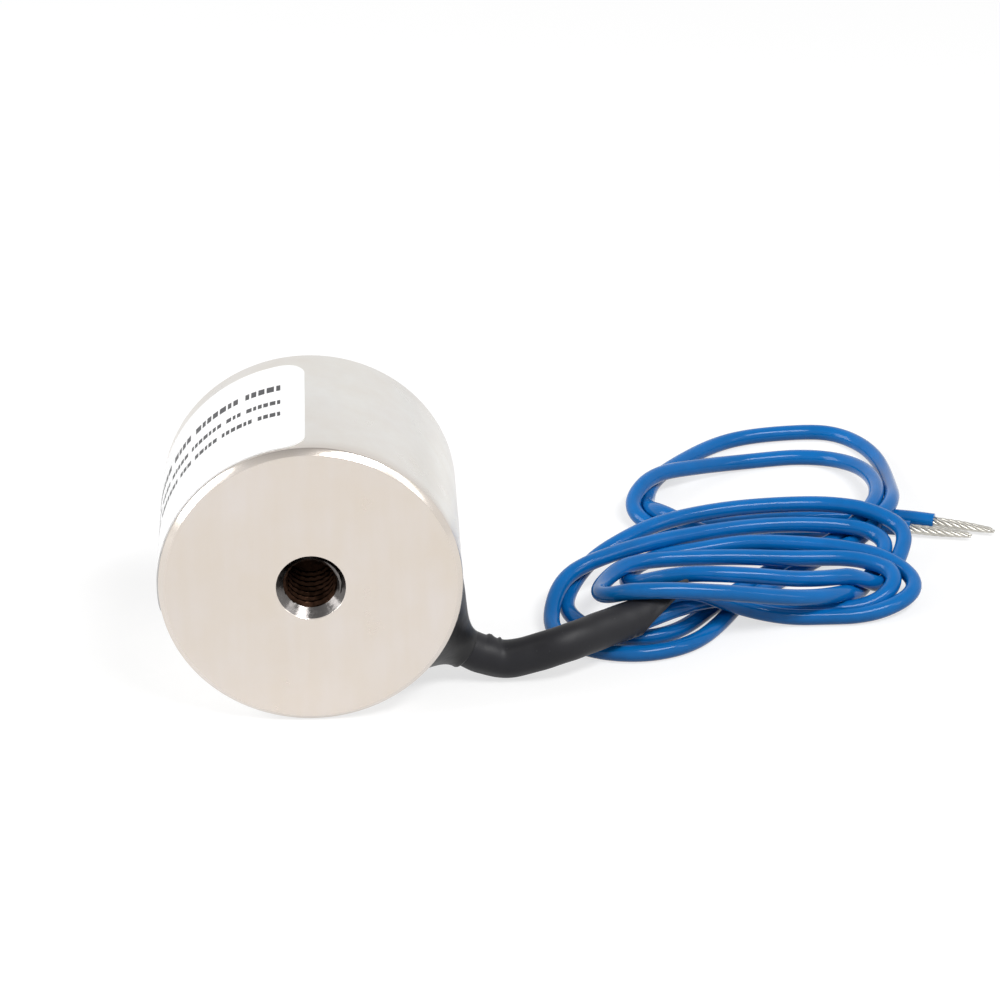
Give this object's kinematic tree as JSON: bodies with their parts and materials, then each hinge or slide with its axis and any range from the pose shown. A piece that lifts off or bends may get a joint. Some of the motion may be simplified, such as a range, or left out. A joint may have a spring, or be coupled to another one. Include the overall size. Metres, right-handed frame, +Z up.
{
  "type": "holding electromagnet",
  "caption": "Small cylindrical holding electromagnet: turned steel pot with centre pole, cast-in coil, tapped rear hole, blank label, and a sleeved pair of coiled blue leads.",
  "frame": {"origin": "on the floor, straight below the middle of the magnet as it lies on its side", "axes": "+Y along the magnet's axis from the tapped rear face to the holding face, +X to the side the leads leave from, +Z up"},
  "size_m": [0.0596, 0.0421, 0.0201],
  "materials": {
    "plated_steel": "nickel-plated, fine turned marks",
    "bobbin_plastic": "matt moulded",
    "copper_winding": "enamelled copper wire",
    "insulating_tape": "smooth film",
    "cast_resin": "cast, semi-gloss",
    "label_film": "smooth blank label",
    "solder": "bright solder",
    "black_sealant": "satin",
    "black_sleeve": "satin",
    "blue_insulation": "glossy extruded",
    "tinned_copper": "tinned strands"
  },
  "bodies": {
    "root": {"pot_body": "plated_steel", "coil_bobbin": "bobbin_plastic", "coil_winding": "copper_winding", "winding_tape": "insulating_tape", "face_resin": "cast_resin", "rating_label": "label_film", "solder_joint_a": "solder", "solder_joint_b": "solder", "exit_seal": "black_sealant", "lead_sleeve": "black_sleeve", "lead_wire_a": "blue_insulation", "lead_wire_b": "blue_insulation", "lead_coil": "blue_insulation", "lead_tail_a": "blue_insulation", "lead_tail_b": "blue_insulation", "tinned_end_a": "tinned_copper", "tinned_end_b": "tinned_copper"}
  },
  "joints": []
}
